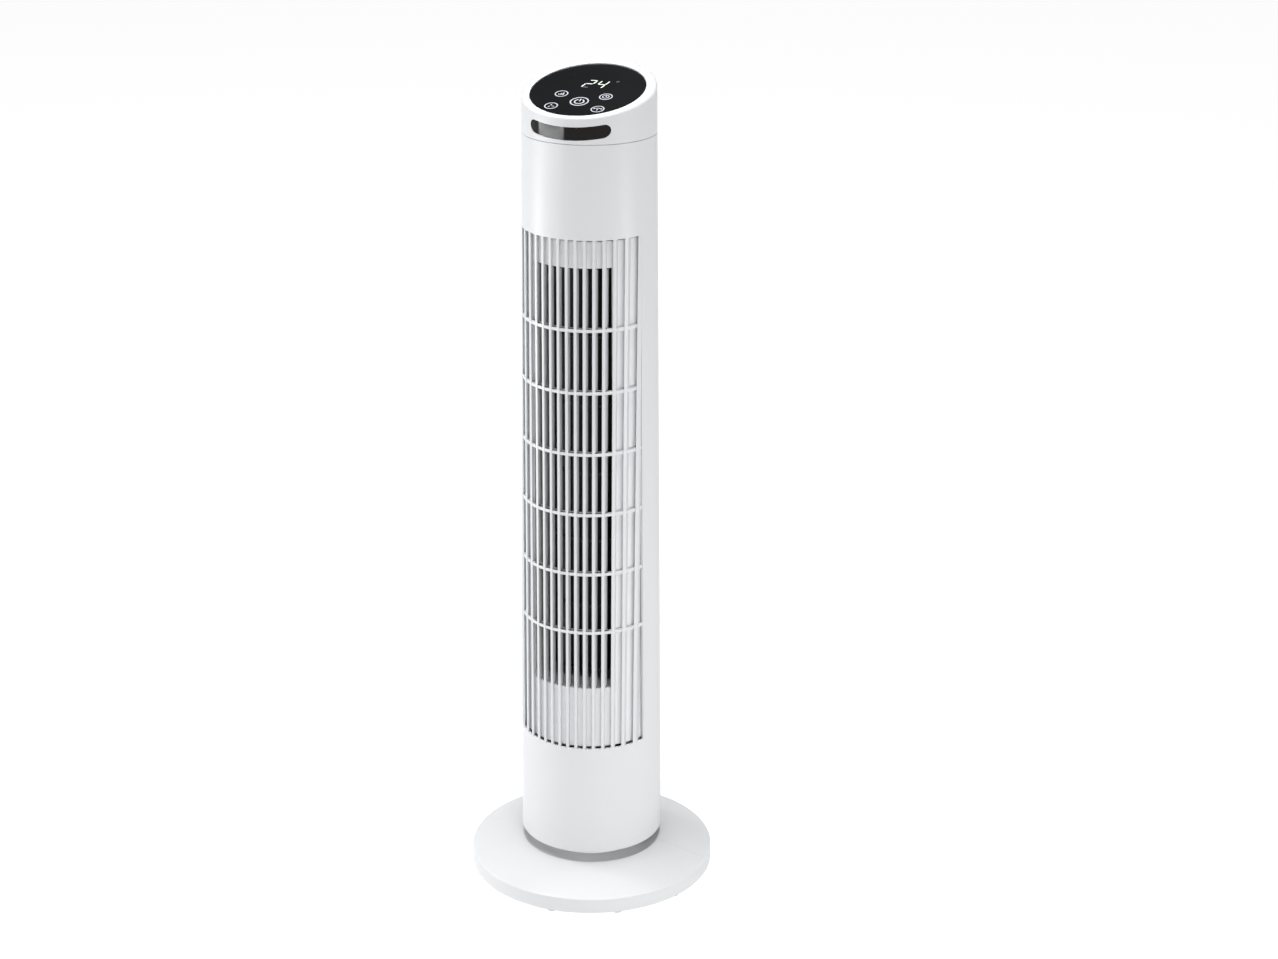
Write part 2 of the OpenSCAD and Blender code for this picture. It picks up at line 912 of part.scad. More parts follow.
module main_board() {
    color("darkgreen")
        translate([-30, 25.6, CEILING_Z + DUCT_PLATE_H + 4.1])
            cube([60, 1.6, 70]);
}

module board_parts() {
    color("darkslategray") {
        translate([-24, 27.3, 626])
            cube([22, 15, 24]);
        translate([4, 27.3, 628])
            cube([16, 12, 20]);
        translate([-18, 27.3, 655])
            cube([12, 10, 14]);
        for (x = [2, 12, 22])
            translate([x, 25.5, 660])
                rotate([90, 0, 0])
                    cylinder(h = 12, r = 4, $fn = SMALL_FN);
    }
}

module motor_capacitor() {
    color("whitesmoke")
        translate([-18, -26, CEILING_Z + DUCT_PLATE_H + 0.1])
            cube([36, 14, 24]);
}

// Points of a tube's ring around a route point, square to the way the route runs there
function unit(v) = v / norm(v);
function way(path, i) = unit(path[min(i + 1, len(path) - 1)] - path[max(i - 1, 0)]);
function side(d) = unit(cross(d, abs(d[0]) > 0.8 ? [0, 1, 0] : [1, 0, 0]));
function tube_ring(p, d, r, n) =
    [for (k = [0:n - 1]) p + r * (cos(360 * k / n) * side(d) + sin(360 * k / n) * cross(d, side(d)))];

module tube(path, r, n = 10) {
    last = len(path) - 1;
    points = [for (i = [0:last]) each tube_ring(path[i], way(path, i), r, n)];
    walls = [for (i = [0:last - 1], k = [0:n - 1])
        each [[i * n + k, (i + 1) * n + (k + 1) % n, i * n + (k + 1) % n],
              [i * n + k, (i + 1) * n + k, (i + 1) * n + (k + 1) % n]]];
    ends = [[for (k = [0:n - 1]) k], [for (k = [n - 1:-1:0]) last * n + k]];
    polyhedron(points, concat(walls, ends));
}

module wiring_loom() {
    color("dimgray")
        tube(LOOM_ROUTE, LOOM_R);
}

// ---- head ----

module top_deck() {
    color("whitesmoke")
        difference() {
            translate([0, 0, DECK_Z])
                cylinder(h = 3, r = outer_r(DECK_Z + 3) - wall - 0.3);
            translate([0, 10, DECK_Z - 1])
                cylinder(h = 10, r = 10);
            around(DECK_SCREW_R, DECK_SCREW_ANGLES)
                translate([0, 0, DECK_Z - 1])
                    cylinder(h = 10, r = 1.8, $fn = SMALL_FN);
        }
}

// The slot for the receiver window, cut along the tilted rim; grow widens it all round
module window_slot(grow) {
    half_h = slot_h / 2 + grow;
    reach = slot_half_w + grow - half_h;
    in_rim_plane()
        translate([0, 0, (slot_z - rim_z + column_top_r * tan(panel_tilt)) * cos(panel_tilt)])
            rotate([90, 0, 0])
                linear_extrude(80)
                    union() {
                        translate([-reach, -half_h])
                            square([2 * reach, 2 * half_h]);
                        for (s = [-1, 1])
                            translate([s * reach, 0])
                                circle(half_h);
                    }
}

// The bevelled rim: two cones about the tilted plane's normal trim the head's edge
module rim_bevel() {
    in_rim_plane()
        translate([0, 0, -80]) {
            intersection() {
                cylinder(h = 80, r1 = 56 + 80 * 0.55, r2 = 56);
                cylinder(h = 80, r1 = 52.8 + 80 * 1.75, r2 = 52.8);
            }
        }
}

module head_shell() {
    z0 = column_z1 + HEAD_GAP;
    color("white")
        difference() {
            union() {
                difference() {
                    intersection() {
                        column_body(z0, 770, 0);
                        rim_bevel();
                    }
                    intersection() {
                        column_body(z0 - 5, 770, 2.4);
                        rim_slab(RIM_THICK, 120);
                    }
                }
                intersection() {
                    column_body(z0 - 10, 770, 2);
                    around(DECK_SCREW_R, DECK_SCREW_ANGLES)
                        translate([0, 0, DECK_Z + 3.05]) {
                            cylinder(h = 22, r = 3.8, $fn = SMALL_FN);
                            translate([-1.5, -9, z0 - DECK_Z - 3])
                                cube([3, 9, 10]);
                        }
                }
                intersection() {
                    rim_slab(RIM_THICK - 1, BOARD_DROP - 0.05);
                    around(46.5, [120, 240])
                        translate([0, 0, 700])
                            cylinder(h = 60, r = 3, $fn = SMALL_FN);
                }
                intersection() {
                    rim_slab(RIM_THICK - 1, BOARD_DROP - 0.05);
                    translate([0, -46.5, 700])
                        cylinder(h = 60, r = 3, $fn = SMALL_FN);
                }
            }
            intersection() {
                translate([0, -panel_y, 690])
                    cylinder(h = 80, r = panel_r + 0.2);
                rim_slab(-20, GLASS_DROP + GLASS_H + 0.05);
            }
            translate([0, -panel_y, 700])
                cylinder(h = 80, r = 42.5);
            window_slot(0);
            board_screw_holes();
            around(DECK_SCREW_R, DECK_SCREW_ANGLES)
                translate([0, 0, DECK_Z])
                    cylinder(h = 14, r = 1.4, $fn = SMALL_FN);
        }
}

module head_screws() {
    color("silver")
        around(DECK_SCREW_R, DECK_SCREW_ANGLES)
            translate([0, 0, DECK_Z - 0.02])
                screw(3, 2, 1.3, 12);
}

module panel_glass() {
    color("black")
        intersection() {
            translate([0, -panel_y, 690])
                cylinder(h = 80, r = panel_r);
            rim_slab(GLASS_DROP, GLASS_DROP + GLASS_H);
        }
}

module touch_springs() {
    top = GLASS_DROP + GLASS_H + 0.05;
    color("silver")
        in_rim_plane()
            for (p = KEY_PLACES)
                translate([p[0], p[1] - panel_y, -BOARD_DROP + 0.02])
                    ring(2, 4, BOARD_DROP - top);
}

module display_module() {
    color("dimgray")
        in_rim_plane()
            translate([-12.5, 10.5 - panel_y - 11, -BOARD_DROP + 0.02])
                cube([31, 22, BOARD_DROP - GLASS_DROP - GLASS_H - 0.3]);
}

module control_board() {
    color("darkgreen")
        difference() {
            intersection() {
                translate([0, 0, 690])
                    cylinder(h = 80, r = 50.5);
                rim_slab(BOARD_DROP, BOARD_DROP + BOARD_H);
            }
            board_screw_holes();
        }
}

module board_screw_holes() {
    in_rim_plane()
        for (p = BOARD_SCREWS)
            translate([p[0], p[1], -BOARD_DROP - BOARD_H - 1])
                cylinder(h = BOARD_H + 5.5, r = 1.1, $fn = SMALL_FN);
}

module control_board_screws() {
    color("silver")
        in_rim_plane()
            for (p = BOARD_SCREWS)
                translate([p[0], p[1], -BOARD_DROP - BOARD_H - 0.02])
                    screw(2.2, 1.4, 1, BOARD_H + 4);
}

module receiver_window() {
    z0 = column_z1 + HEAD_GAP + 0.1;
    color("black")
        union() {
            intersection() {
                column_ring(z0, 730, 0.5, 3.2);
                window_slot(-0.12);
                front_space(0);
            }
            intersection() {
                column_ring(z0 + 0.3, 730, 2.55, 3.6);
                window_slot(1.2);
                front_space(0);
            }
        }
}

module receiver_sensor() {
    color("black")
        translate([-4, -51, 704])
            cube([8, 6, 6]);
}

base_front_half();
base_rear_half();
rubber_feet();
neck();
neck_screws();
cord_gland();
thrust_ring();
swing_arm();
swing_arm_screws();
swing_plate();
swing_plate_screws();
swing_motor();
swing_motor_screws();
crank();
crank_roller();
swing_motor_shaft();
front_casing();
rear_casing();
casing_screws();
outlet_liner();
volute_wall();
tongue_wall();
duct_floor();
duct_ceiling();
motor_lower_bell();
motor_upper_bell();
stator_core();
motor_windings();
motor_bearings();
motor_mounts();
motor_screws();
motor_rotor();
motor_shaft();
drive_hub();
set_screw();
impeller();
stub_shaft();
bearing_bush();
bearing_rubber();
main_board();
board_parts();
motor_capacitor();
wiring_loom();
top_deck();
head_shell();
head_screws();
panel_glass();
touch_springs();
display_module();
control_board();
control_board_screws();
receiver_window();
receiver_sensor();
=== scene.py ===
"""Looks of a slim tower fan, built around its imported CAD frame. All lengths are in metres."""

import json
import math

import bmesh
import bpy
from mathutils import Matrix, Vector


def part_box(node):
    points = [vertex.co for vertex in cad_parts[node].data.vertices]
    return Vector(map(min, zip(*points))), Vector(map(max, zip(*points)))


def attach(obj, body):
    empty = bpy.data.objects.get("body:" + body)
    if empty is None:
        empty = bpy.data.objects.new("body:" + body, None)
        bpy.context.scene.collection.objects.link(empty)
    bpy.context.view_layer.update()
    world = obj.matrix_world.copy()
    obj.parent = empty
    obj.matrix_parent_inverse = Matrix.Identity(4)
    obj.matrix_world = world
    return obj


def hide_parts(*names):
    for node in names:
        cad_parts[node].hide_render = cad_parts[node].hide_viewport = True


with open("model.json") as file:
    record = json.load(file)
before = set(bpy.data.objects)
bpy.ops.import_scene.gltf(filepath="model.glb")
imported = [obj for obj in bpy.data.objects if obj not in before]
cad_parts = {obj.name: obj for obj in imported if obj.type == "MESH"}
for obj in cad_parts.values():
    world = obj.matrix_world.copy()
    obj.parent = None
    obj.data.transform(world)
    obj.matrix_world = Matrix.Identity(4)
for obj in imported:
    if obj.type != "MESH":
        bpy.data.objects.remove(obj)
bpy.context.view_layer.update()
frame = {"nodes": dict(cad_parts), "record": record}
scene = bpy.context.scene
MM = 0.001

# ---- sizes shared by several pieces ----

COLUMN_Z = (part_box("front_casing")[0].z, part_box("front_casing")[1].z)
COLUMN_R = (65.5 * MM, 58.2 * MM)
WALL = 2.2 * MM
SEAM_Y = 4.8 * MM
GAP = 0.15 * MM
GRILLE_Z = (144.5 * MM, 619 * MM)
GRILLE_ANGLE = 68.0
OUTLET_Z = (203.5 * MM, 594 * MM)
SLAT_PITCH = 7.75 * MM
SLAT_W = 2.5 * MM
DEEP_SLAT = 7 * MM
DEEP_RIB = 6 * MM
OUTLET_ANGLE = 35
LINER_GAP = 3.5 * MM
THIN = LINER_GAP - 0.1 * MM
RIB_Z = [(257.5 + 56.1 * i) * MM for i in range(6)]
RIB_H = 3 * MM
BASE_R = 113 * MM
BASE_Z = (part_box("base_front_half")[0].z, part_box("base_front_half")[1].z)
RIM_TOP = 17 * MM
CROWN_R = 65 * MM
BASE_SEAM_Y = 1.8 * MM
SHEET = 3 * MM
FOOT_RING_R = 105.8 * MM
FOOT_COUNT = 11
FOOT_R = 4.8 * MM
GLAND_R, GLAND_Z = 4.2 * MM, 8.6 * MM
TILT = math.radians(14.9)
RIM_Z = 738.6 * MM
GLASS_R = 49.6 * MM
GLASS_Y = -3.6 * MM
GLASS_DROP = 0.8 * MM
WINDOW_Z = 709.6 * MM
WINDOW_W, WINDOW_H = 36 * MM, 5.5 * MM


def column_r(z):
    """The column's outer radius at a height; the head follows the same taper."""
    share = (z - COLUMN_Z[0]) / (COLUMN_Z[1] - COLUMN_Z[0])
    return COLUMN_R[0] + (COLUMN_R[1] - COLUMN_R[0]) * share


def on_circle(radius, angle, z):
    """A point at an angle in radians, counted from the front (-Y) towards +X."""
    return Vector((radius * math.sin(angle), -radius * math.cos(angle), z))


def spread(low, high, count):
    """count + 1 evenly spaced values from low to high."""
    return [low + (high - low) * i / count for i in range(count + 1)]


def fillet(before, corner, after, radius, steps):
    """The arc that rounds one corner of a flat outline."""
    back, ahead = Vector(before) - Vector(corner), Vector(after) - Vector(corner)
    half = back.angle(ahead) / 2
    reach = min(radius / math.tan(half), back.length * 0.49, ahead.length * 0.49)
    start = Vector(corner) + back.normalized() * reach
    end = Vector(corner) + ahead.normalized() * reach
    middle = (back.normalized() + ahead.normalized()).normalized()
    centre = Vector(corner) + middle * reach / math.cos(half)
    first, last = start - centre, end - centre
    turn = first.angle(last)
    return [
        centre + (first * math.sin((1 - t) * turn) + last * math.sin(t * turn)) / math.sin(turn)
        for t in spread(0, 1, steps)
    ]


def rounded(outline, radii, steps=3, finest=None):
    """A closed flat outline with each corner rounded by its own radius; 0 keeps it sharp.

    finest gives one corner's number and its own count of steps.
    """
    points = []
    for i, corner in enumerate(outline):
        if radii[i]:
            count = finest[1] if finest and i == finest[0] else steps
            points += fillet(outline[i - 1], corner, outline[(i + 1) % len(outline)], radii[i], count)
        else:
            points.append(Vector(corner))
    return points


# ---- mesh building ----


class Shape:
    """Gathers closed shells and turns them into one object."""

    def __init__(self):
        self.points, self.faces = [], []

    def loft(self, rings, closed=False):
        """Joins rings of equally many points; the ends are capped unless the loft closes on itself."""
        first, size = len(self.points), len(rings[0])
        for ring in rings:
            self.points += [tuple(p) for p in ring]
        for i in range(len(rings) if closed else len(rings) - 1):
            here, there = first + i * size, first + (i + 1) % len(rings) * size
            for k in range(size):
                n = (k + 1) % size
                self.faces.append((here + k, here + n, there + n, there + k))
        if not closed:
            last = first + (len(rings) - 1) * size
            self.faces.append(tuple(range(first + size - 1, first - 1, -1)))
            self.faces.append(tuple(range(last, last + size)))
        return self

    def turn(self, outline, count, centre=(0, 0, 0)):
        """Turns a closed outline of (radius, height) about a vertical axis."""
        angles = [2 * math.pi * i / count for i in range(count)]
        rings = [[on_circle(r, a, z) + Vector(centre) for r, z in outline] for a in angles]
        return self.loft(rings, closed=True)

    def skin(self, columns, rows, place, kept):
        """A closed wall over a grid; cells that aren't kept stay open.

        place(column, row, side) gives a point on the wall's outer (0) or inner (1) side.
        """
        index = {}

        def corner(i, j, side):
            if (i, j, side) not in index:
                index[i, j, side] = len(self.points)
                self.points.append(tuple(place(columns[i], rows[j], side)))
            return index[i, j, side]

        cells = {
            (i, j)
            for i in range(len(columns) - 1)
            for j in range(len(rows) - 1)
            if kept((columns[i] + columns[i + 1]) / 2, (rows[j] + rows[j + 1]) / 2)
        }
        for i, j in cells:
            around = [(i, j), (i + 1, j), (i + 1, j + 1), (i, j + 1)]
            self.faces.append(tuple(corner(*c, 0) for c in around))
            self.faces.append(tuple(corner(*c, 1) for c in reversed(around)))
            sides = [(i, j - 1), (i + 1, j), (i, j + 1), (i - 1, j)]
            for k, beside in enumerate(sides):
                if beside not in cells:
                    a, b = around[k], around[(k + 1) % 4]
                    self.faces.append((corner(*b, 0), corner(*a, 0), corner(*a, 1), corner(*b, 1)))
        return self

    def make(self, name):
        """The object, with doubled points joined and all faces looking outwards."""
        mesh = bpy.data.meshes.new(name)
        mesh.from_pydata(self.points, [], self.faces)
        piece = bpy.data.objects.new(name, mesh)
        scene.collection.objects.link(piece)
        form = bmesh.new()
        form.from_mesh(mesh)
        bmesh.ops.remove_doubles(form, verts=form.verts, dist=0.002 * MM)
        bmesh.ops.dissolve_degenerate(form, edges=form.edges, dist=0.001 * MM)
        bmesh.ops.recalc_face_normals(form, faces=form.faces)
        form.to_mesh(mesh)
        form.free()
        return piece


def settle(piece):
    """Applies the piece's modifiers."""
    bpy.context.view_layer.update()
    shown = piece.evaluated_get(bpy.context.evaluated_depsgraph_get())
    mesh = bpy.data.meshes.new_from_object(shown)
    piece.modifiers.clear()
    piece.data = mesh


def boolean(piece, cutter, operation):
    """Cuts, joins or trims the piece with another one, which is used up."""
    step = piece.modifiers.new("cut", "BOOLEAN")
    step.operation = operation
    step.solver = "EXACT"
    step.object = cutter
    settle(piece)
    bpy.data.objects.remove(cutter)


def soften(piece, width, segments=2, angle=32):
    """Rounds the piece's sharp edges and evens out its shading."""
    if width:
        step = piece.modifiers.new("edges", "BEVEL")
        step.width = width
        step.segments = segments
        step.limit_method = "ANGLE"
        step.angle_limit = math.radians(angle)
        step.use_clamp_overlap = True
        settle(piece)
    piece.data.shade_smooth()
    piece.data.set_sharp_from_angle(angle=math.radians(38))
    step = piece.modifiers.new("shading", "WEIGHTED_NORMAL")
    step.keep_sharp = True
    settle(piece)


# ---- materials ----


class Nodes:
    """A short way to write a material's node tree."""

    def __init__(self, name):
        self.material = bpy.data.materials.new(name)
        self.material.use_nodes = True
        self.tree = self.material.node_tree
        self.shader = self.tree.nodes["Principled BSDF"]
        self.place = self.tree.nodes.new("ShaderNodeTexCoord").outputs["Object"]

    def add(self, kind, inputs=(), **settings):
        """A node with its settings; each input is a number, a vector or another node's socket."""
        node = self.tree.nodes.new(kind)
        for key, value in settings.items():
            setattr(node, key, value)
        for key, value in dict(inputs).items():
            if isinstance(value, bpy.types.NodeSocket):
                self.tree.links.new(value, node.inputs[key])
            else:
                node.inputs[key].default_value = value
        return node

    def noise(self, scale, detail=2.0, roughness=0.5):
        """Noise over the piece's own coordinates."""
        values = {"Vector": self.place, "Scale": scale, "Detail": detail, "Roughness": roughness}
        return self.add("ShaderNodeTexNoise", values).outputs["Fac"]

    def spread(self, value, low, high, start=0.3, end=0.7):
        """Stretches values between start and end over low to high."""
        values = {"Value": value, "From Min": start, "From Max": end, "To Min": low, "To Max": high}
        return self.add("ShaderNodeMapRange", values).outputs["Result"]

    def blend(self, value, first, second):
        """A colour between two others."""
        node = self.add("ShaderNodeMix", {"Factor": value}, data_type="RGBA")
        node.inputs[6].default_value = (*first, 1)
        node.inputs[7].default_value = (*second, 1)
        return node.outputs[2]

    def bump(self, height, strength, distance, under=None):
        """Surface relief, on top of another relief where one is given."""
        values = {"Height": height, "Strength": strength, "Distance": distance}
        if under:
            values["Normal"] = under
        return self.add("ShaderNodeBump", values).outputs["Normal"]

    def set(self, **sockets):
        """Sets the shader's inputs and returns the material."""
        for key, value in sockets.items():
            socket = self.shader.inputs[key.replace("_", " ")]
            if isinstance(value, bpy.types.NodeSocket):
                self.tree.links.new(value, socket)
            else:
                socket.default_value = value
        return self.material


def moulded(name, first, second, rough, coat=0.0):
    """Injection-moulded plastic: a faint cloudiness, a fine satin grain and uneven gloss."""
    n = Nodes(name)
    grain, depth = 0.5 * MM, 0.012 * MM
    cloud = n.noise(9, 3)
    texture = n.noise(1 / grain, 3, 0.6)
    waves = n.bump(n.noise(28, 1), 0.25, 0.05 * MM)
    return n.set(
        Base_Color=n.blend(n.spread(cloud, 0, 1), first, second),
        Roughness=n.spread(texture, rough - 0.04, rough + 0.04),
        Normal=n.bump(texture, 0.35, depth, waves),
        Coat_Weight=coat,
        Coat_Roughness=0.18,
    )


def steel(name, first, second, rough, stretch=(1, 1, 18)):
    """Metal with fine drawn or rolled lines and a few duller patches."""
    n = Nodes(name)
    n.place = n.add("ShaderNodeMapping", {"Vector": n.place, "Scale": stretch}).outputs["Vector"]
    lines = n.noise(420, 4, 0.7)
    patches = n.noise(30, 3)
    return n.set(
        Base_Color=n.blend(n.spread(patches, 0, 1), first, second),
        Metallic=1.0,
        Roughness=n.spread(lines, rough - 0.08, rough + 0.12),
        Normal=n.bump(lines, 0.3, 0.02 * MM),
    )


def rubber(name, first, second):
    """Matt rubber with a rough grain."""
    n = Nodes(name)
    texture = n.noise(1600, 4, 0.7)
    return n.set(
        Base_Color=n.blend(n.spread(n.noise(60, 3), 0, 1), first, second),
        Roughness=n.spread(texture, 0.62, 0.8),
        Normal=n.bump(texture, 0.5, 0.03 * MM),
    )


def sheets(name):
    """Stacked laminations: thin dark and light lines across the height."""
    n = Nodes(name)
    wave = n.add("ShaderNodeTexWave", {"Vector": n.place, "Scale": 320.0}, bands_direction="Z")
    lines = wave.outputs["Fac"]
    return n.set(
        Base_Color=n.blend(lines, (0.10, 0.10, 0.105), (0.36, 0.36, 0.37)),
        Metallic=0.9,
        Roughness=n.spread(n.noise(200), 0.4, 0.6),
        Normal=n.bump(lines, 0.5, 0.1 * MM),
    )


def windings(name):
    """Enamelled wire wound in turns."""
    n = Nodes(name)
    wave = n.add(
        "ShaderNodeTexWave",
        {"Vector": n.place, "Scale": 260.0, "Distortion": 2.0},
        wave_type="RINGS",
        rings_direction="Z",
    )
    lines = wave.outputs["Fac"]
    return n.set(
        Base_Color=n.blend(lines, (0.22, 0.07, 0.02), (0.62, 0.27, 0.10)),
        Metallic=0.6,
        Roughness=n.spread(n.noise(300), 0.25, 0.4),
        Normal=n.bump(lines, 0.8, 0.3 * MM),
    )


def sleeve(name):
    """A woven cable sleeve."""
    n = Nodes(name)
    n.place = n.add("ShaderNodeMapping", {"Vector": n.place, "Rotation": (0.0, 0.8, 0.8)}).outputs["Vector"]
    weave = n.add("ShaderNodeTexChecker", {"Vector": n.place, "Scale": 1400.0}).outputs["Fac"]
    return n.set(
        Base_Color=n.blend(weave, (0.02, 0.02, 0.022), (0.09, 0.09, 0.1)),
        Roughness=n.spread(n.noise(300), 0.6, 0.8),
        Normal=n.bump(weave, 0.6, 0.1 * MM),
    )


def board(name):
    """Solder mask over traces."""
    n = Nodes(name)
    cells = n.add("ShaderNodeTexVoronoi", {"Vector": n.place, "Scale": 260.0}, distance="MANHATTAN")
    traces = n.spread(cells.outputs["Distance"], 0, 1, 0.32, 0.36)
    return n.set(
        Base_Color=n.blend(traces, (0.01, 0.09, 0.035), (0.03, 0.17, 0.07)),
        Roughness=n.spread(n.noise(200), 0.22, 0.35),
        Normal=n.bump(traces, 0.4, 0.03 * MM),
    )


def black_glass(name, first, second, rough, specular):
    """Polished black glass or plastic with faint smears."""
    n = Nodes(name)
    smears = n.noise(35, 4, 0.6)
    return n.set(
        Base_Color=n.blend(n.spread(n.noise(12), 0, 1), first, second),
        Roughness=n.spread(smears, rough, rough + 0.07),
        Normal=n.bump(n.noise(14, 1), 0.15, 0.05 * MM),
        Specular_IOR_Level=specular,
    )


def lit(name, colour, second, strength):
    """A mark that shines through the glass, a little uneven like a diffuser in front of a lamp."""
    n = Nodes(name)
    glow = n.blend(n.spread(n.noise(400, 2), 0, 1), colour, second)
    return n.set(
        Base_Color=n.blend(n.spread(n.noise(250, 1), 0, 1), (0.1, 0.1, 0.1), (0.16, 0.16, 0.16)),
        Emission_Color=glow,
        Emission_Strength=strength,
        Roughness=0.3,
    )


WHITE = moulded("white_satin", (0.675, 0.685, 0.70), (0.69, 0.70, 0.713), 0.42, coat=0.12)
# Painted light: the neck is the same white plastic as the shell, painted much lighter to stand in for the
# light that reaches under the column's overhang.
NECK_PAINTED_LIGHT = moulded("neck_white_painted_light", (0.93, 0.93, 0.93), (0.96, 0.96, 0.96), 0.5)
LINER = moulded("liner_white", (0.75, 0.765, 0.78), (0.79, 0.80, 0.81), 0.5)
DUCT = moulded("duct_white", (0.60, 0.58, 0.48), (0.66, 0.64, 0.54), 0.55)
NATURAL = moulded("inner_plastic", (0.62, 0.62, 0.60), (0.68, 0.68, 0.66), 0.5)
PALE_RUBBER = rubber("pale_rubber", (0.50, 0.51, 0.52), (0.58, 0.59, 0.60))
DARK_RUBBER = rubber("dark_rubber", (0.02, 0.02, 0.021), (0.04, 0.04, 0.042))
GREY = moulded("grey_plastic", (0.20, 0.20, 0.21), (0.25, 0.25, 0.26), 0.5)
ACETAL = moulded("acetal", (0.70, 0.69, 0.62), (0.76, 0.75, 0.69), 0.4)
BLACK = moulded("black_plastic", (0.010, 0.010, 0.011), (0.018, 0.018, 0.019), 0.42)
SCREW = steel("screw_steel", (0.46, 0.46, 0.47), (0.6, 0.6, 0.61), 0.35, (1, 1, 1))
PRESSED = steel("pressed_steel", (0.48, 0.49, 0.50), (0.62, 0.63, 0.64), 0.42, (1, 6, 1))
BRIGHT = steel("bright_steel", (0.62, 0.62, 0.63), (0.72, 0.72, 0.73), 0.2)
BRONZE = steel("bearing_bronze", (0.36, 0.22, 0.09), (0.48, 0.31, 0.13), 0.45, (1, 1, 1))
CORE = sheets("core_steel")
COPPER = windings("copper_wire")
SLEEVE = sleeve("cable_sleeve")
BOARD = board("circuit_board")
GLASS = black_glass("panel_glass", (0.006, 0.0065, 0.007), (0.009, 0.0095, 0.010), 0.12, 0.3)
WINDOW = black_glass("window_plastic", (0.004, 0.003, 0.002), (0.007, 0.005, 0.003), 0.05, 0.2)
DIGIT = lit("lit_digit", (0.84, 1.0, 0.84), (0.93, 1.0, 0.90), 1.25)
DIM = lit("dim_digit", (0.10, 0.17, 0.15), (0.14, 0.2, 0.18), 0.5)
PRINT = lit("printed_mark", (0.80, 0.85, 0.97), (0.88, 0.91, 1.0), 0.8)

SLOT_LOOKS = {
    "white_shell": WHITE,
    "duct_plastic": DUCT,
    "inner_plastic": NATURAL,
    "foot_rubber": PALE_RUBBER,
    "rubber": DARK_RUBBER,
    "grey_plastic": GREY,
    "screw_steel": SCREW,
    "acetal": ACETAL,
    "pressed_steel": PRESSED,
    "bright_steel": BRIGHT,
    "core_steel": CORE,
    "copper_wire": COPPER,
    "bearing_bronze": BRONZE,
    "black_plastic": BLACK,
    "circuit_board": BOARD,
    "cable_sleeve": SLEEVE,
    "black_glass": GLASS,
}


def paint(piece, material):
    """Gives the whole piece one material."""
    piece.data.materials.clear()
    piece.data.materials.append(material)


for part in frame["record"]["subparts"]:
    paint(frame["nodes"][part["node"]], SLOT_LOOKS[part["material_slot"]])
paint(frame["nodes"]["outlet_liner"], LINER)
# Painted light: the neck gets the lighter white in place of the light that falls on it under the column.
paint(frame["nodes"]["neck"], NECK_PAINTED_LIGHT)


def place(piece, body, material, slot, *nodes):
    """Finishes a piece: its material, the body it rides on and the CAD nodes it stands for."""
    paint(piece, material)
    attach(piece, body)
    if nodes:
        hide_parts(*nodes)
    return piece


# ---- base ----


def cone_z(r):
    """The height of the foot plate's sloping top at a radius."""
    return RIM_TOP + (BASE_Z[1] - RIM_TOP) * (BASE_R - r) / (BASE_R - CROWN_R)


def foot_plate():
    """The whole round foot before the seam splits it: a rim, a shallow cone and a flat crown."""
    low, high = BASE_Z
    rim_wall, hole = 2.5 * MM, 30 * MM
    inner = BASE_R - rim_wall
    outline = rounded(
        [
            (BASE_R, low), (BASE_R, RIM_TOP), (CROWN_R, high), (hole, high), (hole, high - SHEET),
            (CROWN_R, high - SHEET), (inner, RIM_TOP - SHEET), (inner, low),
        ],
        [0.5 * MM, 1.2 * MM, 6 * MM, 0.4 * MM, 0.4 * MM, 6 * MM, 0.5 * MM, 0.5 * MM],
        4,
    )
    return Shape().turn(outline, 240).make("foot_plate")


def seam_prism(front):
    """Everything on one side of the straight seam across the foot."""
    edge = BASE_R + 5 * MM
    side = -1 if front else 1
    near, far = BASE_SEAM_Y + side * GAP / 2, side * 2 * edge
    line = [(-edge, near), (edge, near), (edge, far), (-edge, far)]
    rings = [[Vector((x, y, z)) for x, y in line] for z in (-5 * MM, 60 * MM)]
    return Shape().loft(rings).make("seam_prism")


def under_ribs():
    """Stiffening ribs and the bosses of the feet, under the plate; the cord's place has no rib."""
    low, sink = BASE_Z[0] + 2 * MM, 1.5 * MM
    start, end = 49 * MM, 106 * MM
    profile = [(start, low), (end, low), (end, cone_z(end) - sink)]
    profile += [(CROWN_R, BASE_Z[1] - sink), (start, BASE_Z[1] - sink)]
    top, bore = cone_z(FOOT_RING_R + FOOT_R) - sink, 2.6 * MM
    boss = [(bore, BASE_Z[0]), (FOOT_R, BASE_Z[0]), (FOOT_R, top), (bore, top)]
    shape = Shape()
    for i in range(FOOT_COUNT):
        a = 2 * math.pi * (i + 0.5) / FOOT_COUNT
        along, across = on_circle(1, a, 0), on_circle(1, a + math.pi / 2, 0)
        if 2 * i + 1 != FOOT_COUNT:
            shape.loft([[along * r + across * w + Vector((0, 0, z)) for r, z in profile] for w in (-MM, MM)])
        shape.turn(boss, 32, on_circle(FOOT_RING_R, a - math.pi / FOOT_COUNT, 0))
    return shape.make("under_ribs")


def gland_hole():
    """A round bar through the middle of the rear rim, where the cord leaves."""
    reach = 20 * MM
    outline = [(0, -reach), (GLAND_R, -reach), (GLAND_R, reach), (0, reach)]
    cutter = Shape().turn(outline, 32).make("gland_hole")
    cutter.data.transform(Matrix.Rotation(math.pi / 2, 4, "X"))
    cutter.data.transform(Matrix.Rotation(math.pi, 4, "Z"))
    cutter.data.transform(Matrix.Translation(on_circle(BASE_R, math.pi, GLAND_Z)))
    return cutter


def build_base():
    """The two halves of the foot plate."""
    for front in (True, False):
        name = "base_front_half" if front else "base_rear_half"
        half = foot_plate()
        boolean(half, under_ribs(), "UNION")
        boolean(half, seam_prism(front), "INTERSECT")
        if not front:
            boolean(half, gland_hole(), "DIFFERENCE")
        soften(half, 0)
        half.name = "shell_" + name
        place(half, "base", WHITE, "white_shell", name)


